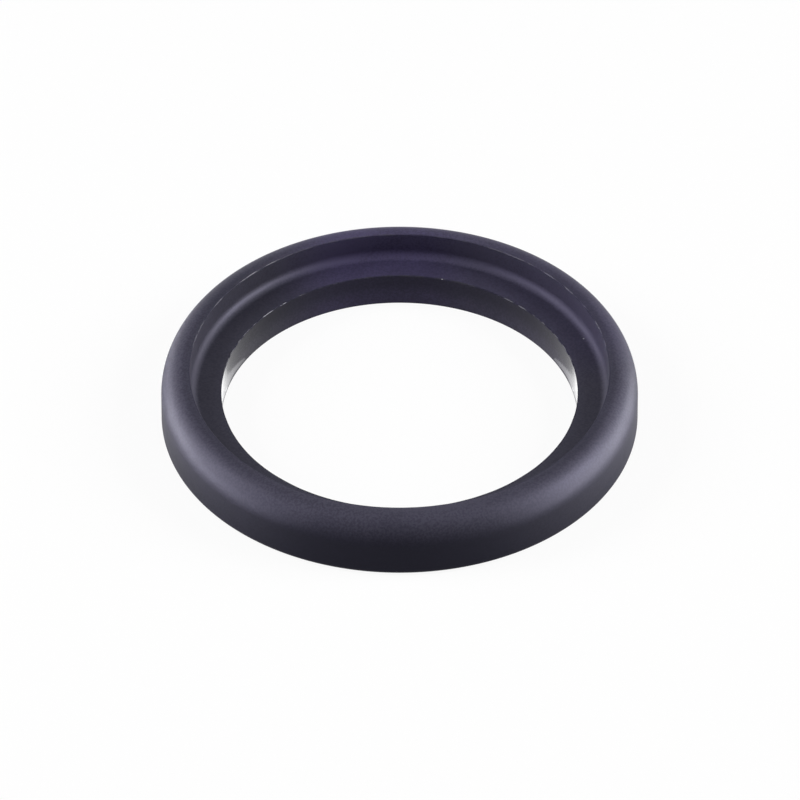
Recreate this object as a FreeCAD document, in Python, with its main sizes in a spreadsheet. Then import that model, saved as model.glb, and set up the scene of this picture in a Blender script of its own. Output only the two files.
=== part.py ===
import FreeCAD, Part
import math
import os
import Sketcher

# Sealing ring: one moulded rubber ring with a stepped section, sizes in millimetres.
# The ring stands on its flat base, the origin is the centre of that base and the bore axis is +Z.
# From outside to inside its half section has a foot round, a short upright wall, a shoulder that
# sweeps in gently and then crowns over more tightly, a narrow land, the recess wall, a hollow
# fillet, a flat ledge and the bore wall.

doc = FreeCAD.newDocument("SealingRing")

# Driving dimensions: one row each, with its alias, its value and what it sets.
DIMENSIONS = [
    ("bore_diameter", "59.8", "through bore, the fit on the tube that the ring closes on"),
    ("ledge_width", "5.25", "flat step between the bore and the recess wall"),
    ("rim_width", "4.85", "raised rim between the recess wall and the outside"),
    ("ring_height", "10.7", "base to the land on top of the rim"),
    ("ledge_height", "6.0", "base to the ledge, which is also the length of the bore"),
    ("shoulder_height", "5.0", "how far the shoulder comes down from the land to the outer wall"),
    ("shoulder_width", "4.0", "how far the shoulder comes in from the outer wall to the land"),
    ("crown_radius", "3.5", "tighter round at the top of the shoulder, next to the land"),
    ("foot_radius", "0.9", "round between the outer wall and the base"),
    ("hollow_radius", "1.5", "fillet where the recess wall meets the ledge"),
    ("lip_bevel", "0.12", "fine bevel at the mouth of the recess"),
    ("bore_bevel", "0.12", "fine bevel at both ends of the bore"),
]

# Limits that keep a round inside the wall it sits on.
LIMITS = [
    ("least_land", "0.2", "flat left beside a round on the narrowest wall"),
    ("most_width", "0.98", "the shoulder's width is at most this share of its height"),
    ("most_crown", "0.9", "the crown's radius is at most this share of the shoulder's width"),
]

# Sizes that follow from the driving ones.
DERIVED = [
    ("bore_r", "=bore_diameter / 2"),
    ("recess_r", "=bore_r + ledge_width"),
    ("outer_r", "=recess_r + rim_width"),
    ("foot_r", "=min(foot_radius; ring_height / 3; rim_width / 3)"),
    ("shoulder_h", "=min(shoulder_height; ring_height - foot_r - least_land)"),
    ("shoulder_w", "=min(shoulder_width; rim_width - lip_bevel - least_land; shoulder_h * most_width)"),
    ("crown_r", "=min(crown_radius; shoulder_w * most_crown)"),
    ("sweep_r", "=(shoulder_w * shoulder_w + shoulder_h * shoulder_h - 2 * shoulder_h * crown_r)"
                " / (2 * (shoulder_w - crown_r))"),
    ("wall_top", "=ring_height - shoulder_h"),
    ("hollow_r", "=min(hollow_radius; ledge_width - bore_bevel - least_land;"
                 " ring_height - ledge_height - lip_bevel - least_land)"),
]


def write_sheet():
    """Write every dimension in a row of the sheet: alias, value and note."""
    sheet = doc.addObject("Spreadsheet::Sheet", "Dimensions")
    row = 1
    for alias, value, note in DIMENSIONS + LIMITS:
        sheet.set(f"A{row}", alias)
        sheet.set(f"B{row}", value)
        sheet.setAlias(f"B{row}", alias)
        sheet.set(f"C{row}", note)
        row += 1
    for alias, formula in DERIVED:
        sheet.setAlias(f"B{row}", alias)
        row += 1
    doc.recompute()
    row -= len(DERIVED)
    for alias, formula in DERIVED:
        sheet.set(f"A{row}", alias)
        sheet.set(f"B{row}", formula)
        row += 1
    doc.recompute()
    return sheet


sheet = write_sheet()


def size(alias):
    """Value of one named size as a plain number."""
    value = sheet.get(alias)
    return float(getattr(value, "Value", value))


def origin_plane(body, role):
    """Origin plane of a body, found by its role."""
    for feature in body.Origin.OriginFeatures:
        if feature.Role == role:
            return feature
    raise RuntimeError(f"no origin plane {role}")


def origin_axis(body, role):
    """Origin axis of a body, found by its role."""
    for feature in body.Origin.OriginFeatures:
        if feature.Role == role:
            return feature
    raise RuntimeError(f"no origin axis {role}")


# Half section of the ring, drawn on the upright plane. The shoulder is two arcs that touch the wall,
# each other and the land smoothly; the other corners are still sharp.
ring = doc.addObject("PartDesign::Body", "SealingRing")
ring.Label = "sealing_ring"

section = ring.newObject("Sketcher::SketchObject", "HalfSection")
section.AttachmentSupport = [(origin_plane(ring, "XZ_Plane"), "")]
section.MapMode = "FlatFace"

bore_r = size("bore_r")
recess_r = size("recess_r")
outer_r = size("outer_r")
ring_height = size("ring_height")
ledge_height = size("ledge_height")
wall_top = size("wall_top")
crown_r = size("crown_r")
sweep_r = size("sweep_r")
land_r = outer_r - size("shoulder_w")
turn_angle = math.asin((ring_height - crown_r - wall_top) / (sweep_r - crown_r))


def line(start, end):
    """Straight edge of the section between two points."""
    return Part.LineSegment(
        FreeCAD.Vector(start[0], start[1], 0),
        FreeCAD.Vector(end[0], end[1], 0))


def arc(middle, radius, begin, finish):
    """Arc of the section about a middle point, between two angles."""
    circle = Part.Circle(
        FreeCAD.Vector(middle[0], middle[1], 0),
        FreeCAD.Vector(0, 0, 1), radius)
    return Part.ArcOfCircle(circle, begin, finish)


BASE, WALL, SWEEP, CROWN, LAND, RECESS, LEDGE, BORE = range(8)
outline = [
    line((bore_r, 0.0), (outer_r, 0.0)),
    line((outer_r, 0.0), (outer_r, wall_top)),
    arc((outer_r - sweep_r, wall_top), sweep_r, 0.0, turn_angle),
    arc((land_r, ring_height - crown_r), crown_r, turn_angle, math.pi / 2),
    line((land_r, ring_height), (recess_r, ring_height)),
    line((recess_r, ring_height), (recess_r, ledge_height)),
    line((recess_r, ledge_height), (bore_r, ledge_height)),
    line((bore_r, ledge_height), (bore_r, 0.0)),
]
for edge in outline:
    section.addGeometry(edge, False)
for index in (WALL, SWEEP, CROWN):
    section.addConstraint(Sketcher.Constraint("Tangent", index, 2, index + 1, 1))
for index in (BASE, LAND, RECESS, LEDGE, BORE):
    after = (index + 1) % len(outline)
    section.addConstraint(Sketcher.Constraint("Coincident", index, 2, after, 1))
for index in (BASE, LAND, LEDGE):
    section.addConstraint(Sketcher.Constraint("Horizontal", index))
for index in (WALL, RECESS, BORE):
    section.addConstraint(Sketcher.Constraint("Vertical", index))

# The base lies on the sketch's own horizontal axis.
section.addConstraint(Sketcher.Constraint("PointOnObject", BASE, 1, -1))


def bind_distance(name, kind, geometry, alias):
    """Add one distance to the section and tie it to the sheet."""
    number = section.addConstraint(Sketcher.Constraint(kind, *geometry, size(alias)))
    section.renameConstraint(number, name)
    section.setExpression(f"Constraints.{name}", f"Dimensions.{alias}")


bind_distance("BoreRadius", "DistanceX", (-1, 1, BASE, 1), "bore_r")
bind_distance("LedgeWidth", "DistanceX", (LEDGE, 2, LEDGE, 1), "ledge_width")
bind_distance("RimWidth", "DistanceX", (LAND, 2, WALL, 1), "rim_width")
bind_distance("RingHeight", "DistanceY", (WALL, 1, LAND, 1), "ring_height")
bind_distance("LedgeHeight", "DistanceY", (BORE, 2, BORE, 1), "ledge_height")
bind_distance("WallTop", "DistanceY", (WALL, 1, WALL, 2), "wall_top")
bind_distance("CrownRadius", "Radius", (CROWN,), "crown_r")
bind_distance("SweepRadius", "Radius", (SWEEP,), "sweep_r")
doc.recompute()

# The section turned once round the bore axis gives the stepped ring.
turned = ring.newObject("PartDesign::Revolution", "TurnedSection")
turned.Profile = section
turned.ReferenceAxis = (origin_axis(ring, "Z_Axis"), [""])
turned.Angle = 360.0
section.Visibility = False
doc.recompute()


def circle_edge(shape, radius, height):
    """Name of the closed circular edge with this radius at this height."""
    for number, edge in enumerate(shape.Edges, start=1):
        if not isinstance(edge.Curve, Part.Circle):
            continue
        if abs(edge.Curve.Radius - radius) > 0.001:
            continue
        if abs(edge.Curve.Center.z - height) > 0.001:
            continue
        return f"Edge{number}"
    raise RuntimeError(f"no edge of radius {radius} at height {height}")


def round_edge(name, base, radius, height, alias):
    """Round the circular edge at this place with a named radius."""
    fillet = ring.newObject("PartDesign::Fillet", name)
    fillet.Base = (base, [circle_edge(base.Shape, radius, height)])
    fillet.Radius = size(alias)
    fillet.setExpression("Radius", f"Dimensions.{alias}")
    doc.recompute()
    return fillet


def bevel_edges(name, base, places, alias):
    """Bevel the circular edges at these places with one named width."""
    names = [circle_edge(base.Shape, radius, height) for radius, height in places]
    chamfer = ring.newObject("PartDesign::Chamfer", name)
    chamfer.Base = (base, names)
    chamfer.Size = size(alias)
    chamfer.setExpression("Size", f"Dimensions.{alias}")
    doc.recompute()
    return chamfer


# The hollow fillet at the root of the raised rim.
hollow = round_edge("HollowFillet", turned, recess_r, ledge_height, "hollow_r")

# The small round where the outer wall meets the base.
foot = round_edge("FootRound", hollow, outer_r, 0.0, "foot_r")

# The crisp moulded lip at the mouth of the recess.
lip = bevel_edges("RecessLip", foot, [(recess_r, ring_height)], "lip_bevel")

# Both ends of the bore have the same fine bevel.
bore_ends = bevel_edges(
    "BoreEnds", lip, [(bore_r, ledge_height), (bore_r, 0.0)], "bore_bevel")

ring.Tip = bore_ends
ring.Placement = FreeCAD.Placement()
doc.recompute()

# Every feature has to be sound before anything is written.
for item in doc.Objects:
    if "Invalid" in item.State or "Error" in item.State:
        raise RuntimeError(f"{item.Name} failed: {item.State}")

shape = ring.Shape
if shape.isNull() or not shape.isValid():
    raise RuntimeError("the ring's solid is not valid")
if len(shape.Solids) != 1:
    raise RuntimeError("the ring is not one solid")

os.makedirs("parts", exist_ok=True)
shape.exportStep(os.path.join("parts", ring.Label + ".step"))

box = shape.optimalBoundingBox(True, False)
print(f"{ring.Label}: {box.XLength:.3f} x {box.YLength:.3f} x {box.ZLength:.3f} mm,"
      f" volume {shape.Volume:.1f} mm3")
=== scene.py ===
"""A stepped rubber sealing ring, moulded in one piece, on a white sweep in a small photo studio."""

import logging
import math
from dataclasses import dataclass
from enum import Enum
from typing import Any

import bpy
from mathutils import Matrix, Vector


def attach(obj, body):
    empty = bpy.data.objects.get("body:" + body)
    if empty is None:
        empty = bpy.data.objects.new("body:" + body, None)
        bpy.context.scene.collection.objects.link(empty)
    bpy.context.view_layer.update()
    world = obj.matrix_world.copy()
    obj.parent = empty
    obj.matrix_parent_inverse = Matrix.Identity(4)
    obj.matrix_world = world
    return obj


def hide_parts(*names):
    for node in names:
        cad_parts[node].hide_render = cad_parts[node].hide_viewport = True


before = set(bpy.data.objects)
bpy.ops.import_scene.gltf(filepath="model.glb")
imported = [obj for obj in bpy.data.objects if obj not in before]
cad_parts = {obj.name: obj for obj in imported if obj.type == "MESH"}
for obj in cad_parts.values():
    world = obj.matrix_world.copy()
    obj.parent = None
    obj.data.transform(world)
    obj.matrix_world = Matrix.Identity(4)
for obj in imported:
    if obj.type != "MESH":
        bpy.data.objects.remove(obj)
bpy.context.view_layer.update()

log = logging.getLogger("sealing_ring")

Colour = tuple[float, float, float, float]
Radiance = tuple[float, float, float]
Range = tuple[float, float]
Socket = bpy.types.NodeSocket

MILLIMETRE = 0.001
IMAGE_SIDE_PX = 800
CAD_NODE = "sealing_ring"
BODY = "root"
WHITE: Colour = (1.0, 1.0, 1.0, 1.0)


class Edge(Enum):
    """The corners of the ring's half section, in the order they are drawn."""

    BORE_FOOT = 0
    WALL_FOOT = 1
    SWEEP = 2
    CROWN = 3
    RECESS_LIP = 4
    LEDGE_ROOT = 5
    BORE_LIP = 6


class TreeBuilder:
    """Adds nodes to one node tree and links them, so that a tree reads as a list of steps."""

    def __init__(self, tree: bpy.types.NodeTree) -> None:
        """Keep the tree that the nodes go into.

        Args:
            tree: A shader or geometry node tree.
        """
        self.tree = tree

    def add(self, kind: str, inputs: dict[Any, Any] | None = None, **settings: Any) -> bpy.types.Node:
        """Add one node, set its properties and fill or link its inputs.

        Args:
            kind: The node's type name.
            inputs: Input name or number to a value, or to the output socket that feeds it.
            **settings: The node's own properties.

        Returns:
            The new node.
        """
        node = self.tree.nodes.new(kind)
        for name, value in settings.items():
            setattr(node, name, value)
        for key, value in (inputs or {}).items():
            self.feed(node.inputs[key], value)
        return node

    def feed(self, socket: Socket, value: Any) -> None:
        """Link a socket to another socket, or set its own value.

        Args:
            socket: The input socket.
            value: An output socket or a plain value.
        """
        if isinstance(value, Socket):
            self.tree.links.new(value, socket)
        else:
            socket.default_value = value

    def math(self, operation: str, *values: Any) -> Socket:
        """Return the result of one Math node.

        Args:
            operation: The Math node's operation.
            *values: Up to three numbers or sockets.

        Returns:
            The node's output socket.
        """
        node = self.add("ShaderNodeMath", dict(enumerate(values)), operation=operation)
        return node.outputs[0]

    def product(self, *values: Any) -> Socket:
        """Return the product of two or more numbers.

        Args:
            *values: Numbers or sockets.

        Returns:
            The output socket.
        """
        result = values[0]
        for value in values[1:]:
            result = self.math("MULTIPLY", result, value)
        return result

    def hypotenuse(self, first: Any, second: Any) -> Socket:
        """Return the long side of a right triangle.

        Args:
            first: One short side.
            second: The other short side.

        Returns:
            The output socket.
        """
        squares = self.math("ADD", self.product(first, first), self.product(second, second))
        return self.math("SQRT", squares)

    def ramp(self, value: Any, low: float, high: float, start: Any = 0.0, end: Any = 1.0) -> Socket:
        """Return a smooth step between two limits.

        Args:
            value: The number that is mapped.
            low: Where the step starts.
            high: Where the step ends.
            start: The result at and before low.
            end: The result at and past high.

        Returns:
            The mapped output socket.
        """
        node = self.add(
            "ShaderNodeMapRange",
            {"Value": value, "From Min": low, "From Max": high, "To Min": start, "To Max": end},
            interpolation_type="SMOOTHSTEP",
        )
        return node.outputs["Result"]

    def between(self, share: Any, first: Any, second: Any) -> Socket:
        """Return the number that lies a share of the way from the first to the second.

        Args:
            share: How far towards the second number.
            first: The number at a share of nought.
            second: The number at a share of one.

        Returns:
            The output socket.
        """
        return self.math("MULTIPLY_ADD", share, self.math("SUBTRACT", second, first), first)

    def blend(self, share: Any, first: Any, second: Any) -> Socket:
        """Return a mix of two colours.

        Args:
            share: How much of the second colour shows.
            first: The first colour.
            second: The second colour.

        Returns:
            The mixed colour's socket.
        """
        node = self.add("ShaderNodeMix", data_type="RGBA")
        self.feed(node.inputs[0], share)
        self.feed(node.inputs[6], first)
        self.feed(node.inputs[7], second)
        return node.outputs[2]


def bare_material(name: str) -> tuple[bpy.types.Material, TreeBuilder]:
    """Make a material with an empty node tree.

    Args:
        name: The material's name.

    Returns:
        The material and the builder of its tree.
    """
    material = bpy.data.materials.new(name)
    material.use_nodes = True
    material.node_tree.nodes.clear()
    return material, TreeBuilder(material.node_tree)


@dataclass(frozen=True)
class RingPlace:
    """Where a point lies on the ring: its position, its three parts and how far out it is."""

    point: Socket
    right: Socket
    back: Socket
    up: Socket
    out: Socket

    @classmethod
    def of(cls, tree: TreeBuilder, point: Socket) -> "RingPlace":
        """Work out the parts of a position.

        Args:
            tree: The tree that it is for.
            point: The position, from the centre of the base.

        Returns:
            The place.
        """
        parts = tree.add("ShaderNodeSeparateXYZ", {"Vector": point}).outputs
        right, back, up = parts["X"], parts["Y"], parts["Z"]
        return cls(point, right, back, up, tree.hypotenuse(right, back))

    def gap_to(self, tree: TreeBuilder, radius: Any, height: Any) -> Socket:
        """Return how far the point is from a level circle round the axis.

        Args:
            tree: The tree that it is for.
            radius: The circle's radius.
            height: The circle's height.

        Returns:
            The distance as a socket.
        """
        across = tree.math("SUBTRACT", self.out, radius)
        along = tree.math("SUBTRACT", self.up, height)
        return tree.hypotenuse(across, along)


@dataclass(frozen=True)
class Mottle:
    """A random pattern: how fine it is, how many layers it has and how strong the finer ones are."""

    per_metre: float
    detail: float
    roughness: float = 0.5

    def strength(self, tree: TreeBuilder, place: RingPlace) -> Socket:
        """Lay the pattern on the ring.

        Args:
            tree: The material's tree.
            place: Where each point lies.

        Returns:
            The pattern's strength, which is mostly between 0.3 and 0.7.
        """
        values = {"Scale": self.per_metre, "Detail": self.detail, "Roughness": self.roughness}
        return tree.add("ShaderNodeTexNoise", {"Vector": place.point, **values}).outputs["Fac"]


@dataclass(frozen=True)
class Zones:
    """Masks of the ring's surface, each one in its zone and nought elsewhere.

    The zones are what lies outside the recess, off the bore wall and on a lip, and the broken stretches
    in which a lip is trimmed smooth.
    """

    outside: Socket
    off_bore: Socket
    lip: Socket
    trimmed: Socket


@dataclass(frozen=True)
class RubberFinish:
    """Satin black rubber with a thin bloom, a fine moulded grain, trimmed lips and a little dust.

    The bloom is partly a real film and partly painted light and shade, set zone by zone. It is
    thickest on the recess wall, as painted light, and thinner on the ledge and the crown. It is all
    but left off the outer wall, as painted shade that is lighter at the two sides. On the land it is
    thinner towards the two sides, and on the bore wall it is thickest at the foot, as painted bounce
    light from the floor. Its colour is violet at the back, greyer at the right, and grey at the left
    and in front. The bore wall is smoother than the rest. Lengths are in metres, in the ring's own
    frame. Each range is where a smooth step starts and ends, and a lip is given by its radius and
    height.
    """

    rubber_colour: Colour = (0.0036, 0.0036, 0.0100, 1.0)
    bloom_colour: Colour = (0.0530, 0.0440, 0.0970, 1.0)
    side_bloom_colour: Colour = (0.0415, 0.0398, 0.0555, 1.0)
    crown_colour: Colour = (0.0445, 0.0420, 0.0620, 1.0)
    dust_colour: Colour = (0.34, 0.34, 0.37, 1.0)

    recess_edge: Range = (0.03518, 0.03533)
    ledge_edge: Range = (0.0336, 0.0346)
    bore_edge: Range = (0.0300, 0.0301)
    land_edge: Range = (0.0359, 0.0371)
    shoulder_rise: Range = (0.0052, 0.0104)
    bore_rise: Range = (0.0004, 0.0048)
    side_wall: Range = (0.014, 0.030)
    side_land: Range = (0.008, 0.032)

    # Painted shade: the outer wall keeps almost no bloom at the front and back, a little more at the
    # sides.
    wall_bloom: float = 0.05
    side_wall_bloom: float = 0.30
    crown_bloom: float = 0.82
    land_bloom: float = 0.92
    side_land_bloom: float = 0.50
    # Partly painted light: the full share lightens the recess wall.
    recess_bloom: float = 1.0
    ledge_bloom: float = 0.62
    lip_bloom: float = 0.55
    # Painted bounce light from the floor: the bore wall's share is larger at its foot than at its top.
    bore_top_bloom: float = 0.34
    bore_foot_bloom: float = 1.0
    bloom_spread: float = 0.15

    violet_left: Range = (-0.024, -0.008)
    violet_right: Range = (0.002, 0.014)
    violet_back: Range = (0.000, 0.012)
    violet_right_share: float = 0.40
    violet_outside_share: float = 0.8

    roughness: float = 0.52
    roughness_spread: float = 0.05
    bore_roughness: float = 0.11
    torn_roughness: float = 0.75
    trim_roughness: float = 0.16
    trim_gloss: float = 0.33
    specular_level: float = 0.14
    specular_tint: Colour = (0.80, 0.77, 1.0, 1.0)

    bloom: Mottle = Mottle(per_metre=70.0, detail=4.0, roughness=0.6)
    grain: Mottle = Mottle(per_metre=2600.0, detail=2.0, roughness=0.55)
    peel: Mottle = Mottle(per_metre=620.0, detail=1.5)
    trimming: Mottle = Mottle(per_metre=520.0, detail=2.0)
    bloom_limits: Range = (0.3, 0.7)
    gloss_limits: Range = (0.3, 0.75)
    grain_limits: Range = (0.35, 0.65)
    trim_limits: Range = (0.45, 0.57)
    grain_height: float = 0.0000075
    peel_height: float = 0.0000070
    grain_spread: float = 0.16
    outer_grain: float = 1.3

    lips: tuple[tuple[float, float], ...] = ((0.03515, 0.0107), (0.0299, 0.0060))
    lip_reach: Range = (0.00013, 0.00026)
    trim_back: Range = (0.000, 0.008)

    dust_per_metre: float = 420.0
    dust_radius: float = 0.055
    dust_share: float = 0.030

    def material(self) -> bpy.types.Material:
        """Build the material.

        Returns:
            The finished material, read in Object coordinates.
        """
        material, tree = bare_material("satin_black_rubber")
        place = RingPlace.of(tree, tree.add("ShaderNodeTexCoord").outputs["Object"])
        zones = self._zones(tree, place)
        bloom = self.bloom.strength(tree, place)
        grain = self.grain.strength(tree, place)
        coarse = tree.between(zones.outside, 1.0, self.outer_grain)
        # The cover mixes the bloom with its painted light and shade.
        cover = tree.product(
            self._bloom_cover(tree, place, zones),
            tree.ramp(bloom, *self.bloom_limits, 1.0 - self.bloom_spread, 1.0 + self.bloom_spread),
            self._speckle(tree, grain, coarse),
            tree.between(zones.lip, 1.0, self.lip_bloom),
        )
        bloomed = tree.blend(cover, self.rubber_colour, self._film(tree, place, zones))
        shader = tree.add(
            "ShaderNodeBsdfPrincipled",
            {
                "Base Color": tree.blend(self._dust(tree, place), bloomed, self.dust_colour),
                "Roughness": self._roughness(tree, zones, bloom),
                "Specular IOR Level": self.specular_level,
                "Specular Tint": self.specular_tint,
                "Coat Weight": tree.product(zones.lip, zones.trimmed, self.trim_gloss),
                "Coat Roughness": self.trim_roughness,
                "Normal": self._relief(tree, place, grain, coarse),
            },
        )
        tree.add("ShaderNodeOutputMaterial", {"Surface": shader.outputs["BSDF"]})
        return material

    def _zones(self, tree: TreeBuilder, place: RingPlace) -> Zones:
        """Build the masks of the section's zones and of the broken stretches where the lips are trimmed.

        Args:
            tree: The material's tree.
            place: Where each point lies.

        Returns:
            The masks.
        """
        gaps = [place.gap_to(tree, radius, height) for radius, height in self.lips]
        stretch = tree.ramp(self.trimming.strength(tree, place), *self.trim_limits)
        return Zones(
            outside=tree.ramp(place.out, *self.recess_edge),
            off_bore=tree.ramp(place.out, *self.bore_edge),
            lip=tree.ramp(tree.math("MINIMUM", *gaps), *self.lip_reach, 1.0, 0.0),
            trimmed=tree.product(stretch, tree.ramp(place.back, *self.trim_back)),
        )

    def _bloom_cover(self, tree: TreeBuilder, place: RingPlace, zones: Zones) -> Socket:
        """Build the thickness of the bloom along the half section.

        Args:
            tree: The material's tree.
            place: Where each point lies.
            zones: The masks.

        Returns:
            A socket with the bloom's share at each place of the section.
        """
        sideways = tree.math("ABSOLUTE", place.right)
        # Painted shade: the outer wall is darkest at the front and back and lighter towards the two sides.
        wall = tree.ramp(sideways, *self.side_wall, self.wall_bloom, self.side_wall_bloom)
        land = tree.ramp(sideways, *self.side_land, self.land_bloom, self.side_land_bloom)
        top = tree.ramp(place.out, *self.land_edge, land, self.crown_bloom)
        # Painted light and shade: lighter on the crown and land, darker down the outer wall below the
        # shoulder.
        outer = tree.ramp(place.up, *self.shoulder_rise, wall, top)
        # Partly painted light: the recess wall gets the full bloom, the ledge less.
        ledge = tree.ramp(place.out, *self.ledge_edge, self.ledge_bloom, self.recess_bloom)
        # Painted bounce light from the floor: the bore wall is lighter at its foot.
        bore = tree.ramp(place.up, *self.bore_rise, self.bore_foot_bloom, self.bore_top_bloom)
        return tree.between(zones.outside, tree.between(zones.off_bore, bore, ledge), outer)

    def _speckle(self, tree: TreeBuilder, grain: Socket, coarse: Socket) -> Socket:
        """Build how the grain thins and thickens the bloom.

        Args:
            tree: The material's tree.
            grain: The grain's strength.
            coarse: How much coarser the grain is here.

        Returns:
            A socket round one.
        """
        patch = tree.ramp(grain, *self.grain_limits, -self.grain_spread, self.grain_spread)
        return tree.math("ADD", tree.product(patch, coarse), 1.0)

    def _film(self, tree: TreeBuilder, place: RingPlace, zones: Zones) -> Socket:
        """Build the colour of the bloom: violet at the back, greyer at the right, grey elsewhere.

        Args:
            tree: The material's tree.
            place: Where each point lies.
            zones: The masks.

        Returns:
            The colour's socket.
        """
        violet = tree.product(
            tree.ramp(place.right, *self.violet_left),
            tree.ramp(place.right, *self.violet_right, 1.0, self.violet_right_share),
            tree.ramp(place.back, *self.violet_back),
        )
        inner = tree.blend(violet, self.side_bloom_colour, self.bloom_colour)
        outer_violet = tree.product(violet, self.violet_outside_share)
        return tree.blend(
            zones.outside, inner, tree.blend(outer_violet, self.crown_colour, self.bloom_colour))

    def _dust(self, tree: TreeBuilder, place: RingPlace) -> Socket:
        """Build the mask of the few dust specks that rubber always carries.

        Args:
            tree: The material's tree.
            place: Where each point lies.

        Returns:
            A socket that is one on a speck and nought elsewhere.
        """
        cells = tree.add(
            "ShaderNodeTexVoronoi",
            {"Vector": place.point, "Scale": self.dust_per_metre, "Randomness": 1.0},
        )
        speck = tree.math("LESS_THAN", cells.outputs["Distance"], self.dust_radius)
        lot = tree.add("ShaderNodeSeparateColor", {"Color": cells.outputs["Color"]}).outputs["Red"]
        return tree.product(speck, tree.math("LESS_THAN", lot, self.dust_share))

    def _roughness(self, tree: TreeBuilder, zones: Zones, bloom: Socket) -> Socket:
        """Build the roughness: smooth on the bore wall, torn on a lip between its trimmed stretches.

        Args:
            tree: The material's tree.
            zones: The masks.
            bloom: The strength of the bloom's pattern.

        Returns:
            The roughness as a socket.
        """
        smoothest = self.roughness - self.roughness_spread
        roughest = self.roughness + self.roughness_spread
        moulded = tree.ramp(bloom, *self.gloss_limits, smoothest, roughest)
        moulded = tree.between(zones.off_bore, self.bore_roughness, moulded)
        return tree.between(
            zones.lip, moulded, tree.between(zones.trimmed, self.torn_roughness, moulded))

    def _relief(self, tree: TreeBuilder, place: RingPlace, grain: Socket, coarse: Socket) -> Socket:
        """Build the fine relief of the moulded skin.

        Args:
            tree: The material's tree.
            place: Where each point lies.
            grain: The grain's strength.
            coarse: How much coarser the grain is here.

        Returns:
            The bumped normal.
        """
        height = tree.math(
            "ADD",
            tree.product(grain, coarse, self.grain_height),
            tree.product(self.peel.strength(tree, place), self.peel_height),
        )
        bump = tree.add("ShaderNodeBump", {"Height": height, "Distance": 1.0, "Strength": 1.0})
        return bump.outputs["Normal"]


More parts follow.
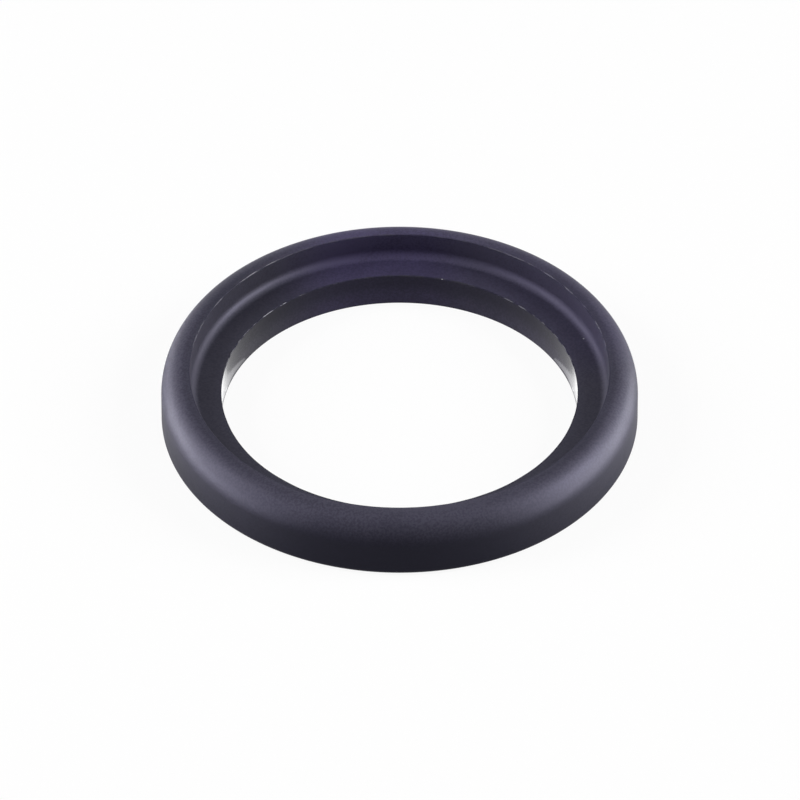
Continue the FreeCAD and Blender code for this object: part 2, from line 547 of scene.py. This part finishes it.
@dataclass
class MouldedRing:
    """The ring itself: a stepped section swept once round the bore, sizes in millimetres."""

    bore_diameter: float = 59.8
    ledge_width: float = 5.25
    rim_width: float = 4.85
    ring_height: float = 10.7
    ledge_height: float = 6.0
    shoulder_height: float = 5.0
    shoulder_width: float = 4.0
    crown_radius: float = 3.5
    foot_radius: float = 0.9
    hollow_radius: float = 1.5
    lip_radius: float = 0.14
    bore_foot_radius: float = 0.05
    steps_round: int = 720
    merge_gap: float = 0.0005
    even_weight: int = 90
    flash_height: float = 0.035
    flash_reach: float = 0.22
    flash_full_share: float = 0.35
    flash_per_metre: float = 150.0
    flash_detail: float = 3.0
    flash_limits: Range = (0.42, 0.68)
    name: str = "moulded_ring"

    def sweep_radius(self) -> float:
        """Return the larger radius of the shoulder, which touches the wall and the crown smoothly."""
        high, wide, crown = self.shoulder_height, self.shoulder_width, self.crown_radius
        return (wide * wide + high * high - 2 * high * crown) / (2 * (wide - crown))

    def turn_angle(self) -> float:
        """Return the angle above level at which the shoulder passes from its sweep to its crown."""
        rise = self.shoulder_height - self.crown_radius
        return math.asin(rise / (self.sweep_radius() - self.crown_radius))

    def sweep_corner(self) -> float:
        """Return the height at which the wall's line meets the line between sweep and crown."""
        tangent = self.sweep_radius() * math.tan(self.turn_angle() / 2)
        return self.ring_height - self.shoulder_height + tangent

    def crown_corner(self) -> float:
        """Return how far inside the outer wall that same line meets the land's line."""
        tangent = self.crown_radius * math.tan((math.pi / 2 - self.turn_angle()) / 2)
        return self.shoulder_width - tangent

    def corner_radii(self) -> dict[Edge, float]:
        """Return the round of each corner of the half section."""
        return {
            Edge.BORE_FOOT: self.bore_foot_radius,
            Edge.WALL_FOOT: self.foot_radius,
            Edge.SWEEP: self.sweep_radius(),
            Edge.CROWN: self.crown_radius,
            Edge.RECESS_LIP: self.lip_radius,
            Edge.LEDGE_ROOT: self.hollow_radius,
            Edge.BORE_LIP: self.lip_radius,
        }

    def corner_steps(self) -> dict[Edge, int]:
        """Return how many points each corner's arc gets."""
        return {
            Edge.BORE_FOOT: 3,
            Edge.WALL_FOOT: 8,
            Edge.SWEEP: 12,
            Edge.CROWN: 16,
            Edge.RECESS_LIP: 4,
            Edge.LEDGE_ROOT: 12,
            Edge.BORE_LIP: 4,
        }

    def build(self, finish: bpy.types.Material) -> bpy.types.Object:
        """Build the ring's mesh and seat it on the body.

        Args:
            finish: The rubber.

        Returns:
            The finished piece.
        """
        ring = self._swept(finish)
        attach(ring, BODY)
        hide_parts(CAD_NODE)
        log.info("%s: %d faces", ring.name, len(ring.data.polygons))
        return ring

    def _swept(self, finish: bpy.types.Material) -> bpy.types.Object:
        """Run the section sweep and keep its result as a plain mesh.

        Args:
            finish: The rubber.

        Returns:
            The ring as an object at the origin.
        """
        tree = self._tree()
        seed = bpy.data.objects.new("section_seed", bpy.data.meshes.new("section_seed"))
        bpy.context.scene.collection.objects.link(seed)
        sweep = seed.modifiers.new("SectionSweep", "NODES")
        sweep.node_group = tree
        values = self._inputs(finish)
        for item in tree.interface.items_tree:
            if item.item_type == "SOCKET" and item.in_out == "INPUT":
                sweep[item.identifier] = values[item.name]
        even = seed.modifiers.new("EvenShading", "WEIGHTED_NORMAL")
        even.mode = "FACE_AREA"
        even.weight = self.even_weight
        even.keep_sharp = False
        depsgraph = bpy.context.evaluated_depsgraph_get()
        mesh = bpy.data.meshes.new_from_object(
            seed.evaluated_get(depsgraph), preserve_all_data_layers=True, depsgraph=depsgraph)
        seed.modifiers.clear()
        bpy.data.objects.remove(seed)
        mesh.name = self.name
        ring = bpy.data.objects.new(self.name, mesh)
        bpy.context.scene.collection.objects.link(ring)
        return ring

    def _inputs(self, finish: bpy.types.Material) -> dict[str, Any]:
        """Gather the sweep's inputs.

        Args:
            finish: The rubber.

        Returns:
            Each input's value by its name, lengths in metres.
        """
        values: dict[str, Any] = {
            "Bore Radius": self.bore_diameter / 2 * MILLIMETRE,
            "Ledge Width": self.ledge_width * MILLIMETRE,
            "Rim Width": self.rim_width * MILLIMETRE,
            "Ring Height": self.ring_height * MILLIMETRE,
            "Ledge Height": self.ledge_height * MILLIMETRE,
            "Sweep Corner": self.sweep_corner() * MILLIMETRE,
            "Crown Corner": self.crown_corner() * MILLIMETRE,
            "Flash Height": self.flash_height * MILLIMETRE,
            "Flash Reach": self.flash_reach * MILLIMETRE,
            "Flash Scale": self.flash_per_metre,
            "Steps Round": self.steps_round,
            "Finish": finish,
        }
        for edge, radius in self.corner_radii().items():
            values[f"{edge.name.title()} Radius"] = radius * MILLIMETRE
        for edge, steps in self.corner_steps().items():
            values[f"{edge.name.title()} Steps"] = steps
        return values

    def _tree(self) -> bpy.types.NodeTree:
        """Build the node tree that draws the section, rounds its corners and sweeps it round the bore.

        Returns:
            The geometry node tree, with a named input for each size.
        """
        group = bpy.data.node_groups.new("SectionSweep", "GeometryNodeTree")
        face = group.interface
        lengths = ["Bore Radius", "Ledge Width", "Rim Width", "Ring Height", "Ledge Height"]
        lengths += ["Sweep Corner", "Crown Corner", "Flash Height", "Flash Reach", "Flash Scale"]
        lengths += [f"{edge.name.title()} Radius" for edge in Edge]
        for name in lengths:
            face.new_socket(name, in_out="INPUT", socket_type="NodeSocketFloat")
        for name in ["Steps Round"] + [f"{edge.name.title()} Steps" for edge in Edge]:
            face.new_socket(name, in_out="INPUT", socket_type="NodeSocketInt")
        face.new_socket("Finish", in_out="INPUT", socket_type="NodeSocketMaterial")
        face.new_socket("Geometry", in_out="OUTPUT", socket_type="NodeSocketGeometry")
        tree = TreeBuilder(group)
        given = tree.add("NodeGroupInput").outputs

        path = tree.add(
            "GeometryNodeCurvePrimitiveCircle",
            {"Resolution": given["Steps Round"], "Radius": given["Bore Radius"]},
        )
        upright = tree.add("GeometryNodeSetCurveNormal", {"Curve": path.outputs["Curve"]}, mode="Z_UP")
        swept = tree.add(
            "GeometryNodeCurveToMesh",
            {
                "Curve": upright.outputs["Curve"],
                "Profile Curve": self._section(tree, given),
                "Fill Caps": False,
            },
        )
        merged = tree.add(
            "GeometryNodeMergeByDistance",
            {"Geometry": swept.outputs["Mesh"], "Distance": self.merge_gap * MILLIMETRE},
        )
        outward = tree.add("GeometryNodeFlipFaces", {"Mesh": merged.outputs["Geometry"]})
        flashed = self._flash(tree, given, outward.outputs["Mesh"])
        smooth = tree.add("GeometryNodeSetShadeSmooth", {"Geometry": flashed, "Shade Smooth": True})
        real = tree.add("GeometryNodeRealizeInstances", {"Geometry": smooth.outputs["Geometry"]})
        dressed = tree.add(
            "GeometryNodeSetMaterial", {"Geometry": real.outputs["Geometry"], "Material": given["Finish"]})
        tree.add("NodeGroupOutput", {"Geometry": dressed.outputs["Geometry"]})
        return group

    def _section(self, tree: TreeBuilder, given: Any) -> Socket:
        """Draw the closed half section with its corners rounded.

        Args:
            tree: The sweep's tree.
            given: The group's inputs.

        Returns:
            The section curve, its x measured outwards from the bore wall and its y downwards, because a
            sweep along this circle lays the section's y along -Z.
        """
        outside = tree.math("ADD", given["Ledge Width"], given["Rim Width"])
        across = {
            Edge.BORE_FOOT: 0.0,
            Edge.WALL_FOOT: outside,
            Edge.SWEEP: outside,
            Edge.CROWN: tree.math("SUBTRACT", outside, given["Crown Corner"]),
            Edge.RECESS_LIP: given["Ledge Width"],
            Edge.LEDGE_ROOT: given["Ledge Width"],
            Edge.BORE_LIP: 0.0,
        }
        upwards = {
            Edge.BORE_FOOT: 0.0,
            Edge.WALL_FOOT: 0.0,
            Edge.SWEEP: given["Sweep Corner"],
            Edge.CROWN: given["Ring Height"],
            Edge.RECESS_LIP: given["Ring Height"],
            Edge.LEDGE_ROOT: given["Ledge Height"],
            Edge.BORE_LIP: given["Ledge Height"],
        }
        downwards = tree.product(self._by_corner(tree, "FLOAT", upwards), -1.0)
        place = tree.add(
            "ShaderNodeCombineXYZ", {"X": self._by_corner(tree, "FLOAT", across), "Y": downwards})
        points = tree.add("GeometryNodeMeshLine", {"Count": len(Edge)}, mode="OFFSET")
        line = tree.add("GeometryNodeMeshToCurve", {"Mesh": points.outputs["Mesh"]})
        placed = tree.add(
            "GeometryNodeSetPosition",
            {"Geometry": line.outputs["Curve"], "Position": place.outputs["Vector"]},
        )
        closed = tree.add(
            "GeometryNodeSetSplineCyclic", {"Geometry": placed.outputs["Geometry"], "Cyclic": True})
        radii = {edge: given[f"{edge.name.title()} Radius"] for edge in Edge}
        steps = {edge: given[f"{edge.name.title()} Steps"] for edge in Edge}
        rounded = tree.add(
            "GeometryNodeFilletCurve",
            {
                "Curve": closed.outputs["Geometry"],
                "Radius": self._by_corner(tree, "FLOAT", radii),
                "Count": self._by_corner(tree, "INT", steps),
            },
            mode="POLY",
        )
        return rounded.outputs["Curve"]

    def _by_corner(self, tree: TreeBuilder, kind: str, values: dict[Edge, Any]) -> Socket:
        """Pick one value for each corner by its number in the section.

        Args:
            tree: The sweep's tree.
            kind: FLOAT or INT.
            values: A value or socket for each corner.

        Returns:
            The chosen value as a field.
        """
        chooser = tree.add("GeometryNodeIndexSwitch", data_type=kind)
        while len(chooser.index_switch_items) < len(Edge):
            chooser.index_switch_items.new()
        number = tree.add("GeometryNodeInputIndex")
        tree.feed(chooser.inputs["Index"], number.outputs["Index"])
        for edge in Edge:
            tree.feed(chooser.inputs[str(edge.value)], values[edge])
        return chooser.outputs["Output"]

    def _flash(self, tree: TreeBuilder, given: Any, mesh: Socket) -> Socket:
        """Raise a hair of uneven moulding flash along the recess lip and the upper bore lip.

        Args:
            tree: The sweep's tree.
            given: The group's inputs.
            mesh: The swept ring.

        Returns:
            The ring with its flash.
        """
        place = RingPlace.of(tree, tree.add("GeometryNodeInputPosition").outputs["Position"])
        recess = tree.math("ADD", given["Bore Radius"], given["Ledge Width"])
        near = tree.math(
            "MAXIMUM",
            self._nearness(tree, given, place, recess, given["Ring Height"]),
            self._nearness(tree, given, place, given["Bore Radius"], given["Ledge Height"]),
        )
        noise = tree.add(
            "ShaderNodeTexNoise",
            {"Vector": place.point, "Scale": given["Flash Scale"], "Detail": self.flash_detail},
        )
        uneven = tree.ramp(noise.outputs["Fac"], *self.flash_limits)
        rise = tree.product(near, uneven, given["Flash Height"])
        normal = tree.add("GeometryNodeInputNormal").outputs["Normal"]
        shift = tree.add("ShaderNodeVectorMath", {0: normal, "Scale": rise}, operation="SCALE")
        moved = tree.add("GeometryNodeSetPosition", {"Geometry": mesh, "Offset": shift.outputs["Vector"]})
        return moved.outputs["Geometry"]

    def _nearness(self, tree: TreeBuilder, given: Any, place: RingPlace, radius: Any,
                  height: Any) -> Socket:
        """Return one at a lip and nought past the flash's reach.

        Args:
            tree: The sweep's tree.
            given: The group's inputs.
            place: Where each point of the mesh lies.
            radius: The lip's radius.
            height: The lip's height.

        Returns:
            The nearness as a field.
        """
        share = tree.math("DIVIDE", place.gap_to(tree, radius, height), given["Flash Reach"])
        return tree.ramp(share, self.flash_full_share, 1.0, 1.0, 0.0)


def area_lamp(name: str, width: float, height: float, radiance: Radiance) -> bpy.types.Object:
    """Make a rectangular lamp that is equally bright all over and that the camera doesn't see.

    Args:
        name: The lamp's name.
        width: Its width in metres.
        height: Its height in metres.
        radiance: How bright it looks in each colour.

    Returns:
        The lamp's object, still at the origin.
    """
    light = bpy.data.lights.new(name, "AREA")
    light.shape = "RECTANGLE"
    light.size = width
    light.size_y = height
    peak = max(radiance)
    light.color = [value / peak for value in radiance]
    light.energy = peak * math.pi * width * height
    lamp = bpy.data.objects.new(name, light)
    bpy.context.scene.collection.objects.link(lamp)
    lamp.visible_camera = False
    return lamp


@dataclass(frozen=True)
class SoftBox:
    """A rectangular soft light that faces the ring.

    Its azimuth is counted in degrees from straight behind the ring towards the right, its elevation is
    counted from level, and its lengths are in metres.
    """

    name: str
    azimuth: float
    elevation: float
    width: float
    height: float
    radiance: Radiance
    sheen_only: bool = False
    distance: float = 0.9

    def build(self) -> bpy.types.Object:
        """Hang the light at its bearing and turn it to the ring.

        Returns:
            The light's object.
        """
        lamp = area_lamp(self.name, self.width, self.height, self.radiance)
        turn, lift = math.radians(self.azimuth), math.radians(self.elevation)
        level = math.cos(lift)
        bearing = Vector((math.sin(turn) * level, math.cos(turn) * level, math.sin(lift)))
        lamp.location = bearing * self.distance
        lamp.rotation_euler = bearing.to_track_quat("Z", "Y").to_euler()
        lamp.visible_diffuse = not self.sheen_only
        return lamp


@dataclass(frozen=True)
class BounceCard:
    """A bright card that lies on the sweep beside the ring and shows only in its gloss.

    It reaches from near to far along its azimuth, both in metres from the axis.
    """

    name: str
    azimuth: float
    near: float
    far: float
    width: float
    radiance: Radiance
    thickness: float = 0.0004

    def build(self) -> bpy.types.Object:
        """Lay the card down with its bright face up.

        Returns:
            The card's light object.
        """
        lamp = area_lamp(self.name, self.width, self.far - self.near, self.radiance)
        turn = math.radians(self.azimuth)
        reach = (self.near + self.far) / 2
        lamp.location = (reach * math.sin(turn), reach * math.cos(turn), self.thickness)
        lamp.rotation_euler = (math.pi, 0.0, -turn)
        lamp.visible_diffuse = False
        return lamp


@dataclass
class Studio:
    """The white sweep under the ring, the pale surroundings, the soft boxes and the bounce cards.

    A soft box is given by its name, azimuth, elevation, width, height and radiance, and a card by its
    name, azimuth, near and far edge, width and radiance.
    """

    floor_side: float = 12.0
    floor_drop: float = 0.00002
    floor_colour: Colour = (0.95, 0.95, 0.95, 1.0)
    bounce_colour: Colour = (0.60, 0.60, 0.60, 1.0)
    backdrop_strength: float = 1.0
    shadow_share: float = 0.08
    ambient: Colour = (0.03, 0.03, 0.03, 1.0)
    lights: tuple[SoftBox | BounceCard, ...] = (
        SoftBox("top_box", 0.0, 90.0, 0.585, 0.585, (1.33, 1.33, 1.33)),
        SoftBox("left_box", -90.0, 33.5, 0.43, 0.55, (8.3, 8.3, 8.3)),
        SoftBox("right_box", 90.0, 33.5, 0.43, 0.55, (8.3, 8.3, 8.3)),
        SoftBox("left_sheen", -90.0, 25.0, 1.55, 0.82, (6.0, 6.0, 6.3), sheen_only=True),
        SoftBox("right_sheen", 80.0, 25.0, 1.10, 0.82, (6.4, 6.4, 6.7), sheen_only=True),
        SoftBox("right_low_sheen", 98.0, 17.0, 0.46, 0.53, (16.2, 16.2, 17.0), sheen_only=True),
        BounceCard("right_card", 103.0, 0.062, 0.100, 0.110, (31.9, 31.9, 34.0)),
        BounceCard("right_far_card", 75.0, 0.100, 0.220, 0.171, (3.7, 3.7, 3.9)),
        BounceCard("left_card", -105.0, 0.062, 0.100, 0.087, (31.9, 31.9, 34.0)),
        BounceCard("left_far_card", -60.0, 0.100, 0.220, 0.086, (18.8, 18.8, 20.0)),
        BounceCard("right_bore_card", 69.0, 0.0292, 0.0298, 0.009, (1.2, 1.2, 1.2)),
        BounceCard("right_bore_end_card", 84.0, 0.0278, 0.0298, 0.009, (0.9, 0.9, 0.9)),
        BounceCard("left_bore_card", -69.0, 0.0292, 0.0298, 0.009, (1.2, 1.2, 1.2)),
        BounceCard("left_bore_end_card", -84.0, 0.0278, 0.0298, 0.009, (0.9, 0.9, 0.9)),
    )

    def build(self) -> None:
        """Build the floor, the surroundings and the lights."""
        self._floor()
        self._surroundings()
        for light in self.lights:
            light.build()
            log.info("light %s", light.name)

    def _white_rays(self, tree: TreeBuilder) -> Socket:
        """Find the rays that see the background itself.

        Args:
            tree: The tree of the floor or of the surroundings.

        Returns:
            A socket that is one for those rays and nought for the rest.
        """
        path = tree.add("ShaderNodeLightPath").outputs
        seen = tree.math("ADD", path["Is Camera Ray"], path["Is Glossy Ray"])
        seen = tree.math("ADD", seen, path["Is Transmission Ray"])
        return tree.math("MINIMUM", seen, 1.0)

    def _floor(self) -> None:
        """Lay the white floor, which keeps a trace of the ring's soft shadow."""
        half = self.floor_side / 2
        mesh = bpy.data.meshes.new("studio_floor")
        around = ((-half, -half), (half, -half), (half, half), (-half, half))
        mesh.from_pydata([(x, y, -self.floor_drop) for x, y in around], [], [(0, 1, 2, 3)])
        floor = bpy.data.objects.new("studio_floor", mesh)
        bpy.context.scene.collection.objects.link(floor)
        material, tree = bare_material("white_sweep")
        paper = tree.add("ShaderNodeBsdfDiffuse", {"Color": self.floor_colour})
        bounce = tree.add("ShaderNodeBsdfDiffuse", {"Color": self.bounce_colour})
        glow = tree.add("ShaderNodeEmission", {"Color": WHITE, "Strength": self.backdrop_strength})
        shaded = tree.add(
            "ShaderNodeMixShader",
            {0: self.shadow_share, 1: glow.outputs["Emission"], 2: paper.outputs["BSDF"]},
        )
        seen = tree.add(
            "ShaderNodeMixShader",
            {0: self._white_rays(tree), 1: bounce.outputs["BSDF"], 2: shaded.outputs["Shader"]},
        )
        tree.add("ShaderNodeOutputMaterial", {"Surface": seen.outputs["Shader"]})
        mesh.materials.append(material)

    def _surroundings(self) -> None:
        """Set the world: white where it is looked at, and a dim fill for the rest."""
        world = bpy.data.worlds.new("studio_surroundings")
        bpy.context.scene.world = world
        world.use_nodes = True
        world.node_tree.nodes.clear()
        tree = TreeBuilder(world.node_tree)
        fill = tree.add("ShaderNodeBackground", {"Color": self.ambient, "Strength": 1.0})
        white = tree.add("ShaderNodeBackground", {"Color": WHITE, "Strength": self.backdrop_strength})
        mix = tree.add(
            "ShaderNodeMixShader",
            {0: self._white_rays(tree), 1: fill.outputs["Background"], 2: white.outputs["Background"]},
        )
        tree.add("ShaderNodeOutputWorld", {"Surface": mix.outputs["Shader"]})


@dataclass
class PhotoCamera:
    """A long lens far from the ring, looking down at it from the front."""

    elevation: float = 40.64
    distance: float = 2.4
    pixels_per_metre: float = 5949.0
    slide_right: float = 0.00007
    slide_up: float = 0.0030
    sensor: float = 36.0
    clip: Range = (0.01, 50.0)

    def build(self) -> bpy.types.Object:
        """Place the camera and make it the scene's own.

        Returns:
            The camera's object.
        """
        lift = math.radians(self.elevation)
        back = Vector((0.0, -math.cos(lift), math.sin(lift)))
        right = Vector((1.0, 0.0, 0.0))
        up = back.cross(right)
        data = bpy.data.cameras.new("photo_camera")
        data.sensor_width = self.sensor
        data.sensor_fit = "HORIZONTAL"
        data.lens = self.pixels_per_metre * self.distance * self.sensor / IMAGE_SIDE_PX
        data.clip_start, data.clip_end = self.clip
        data.dof.use_dof = False
        camera = bpy.data.objects.new("photo_camera", data)
        bpy.context.scene.collection.objects.link(camera)
        camera.rotation_euler = Matrix((right, up, back)).transposed().to_euler()
        camera.location = back * self.distance + right * self.slide_right + up * self.slide_up
        bpy.context.scene.camera = camera
        log.info("camera %.1f degrees above level", self.elevation)
        return camera


def main() -> None:
    """Build the ring, the studio and the camera."""
    logging.basicConfig(level=logging.INFO)
    bpy.context.scene.view_settings.view_transform = "Standard"
    MouldedRing().build(RubberFinish().material())
    Studio().build()
    PhotoCamera().build()
    bpy.context.view_layer.update()


if __name__ == "__main__":
    main()
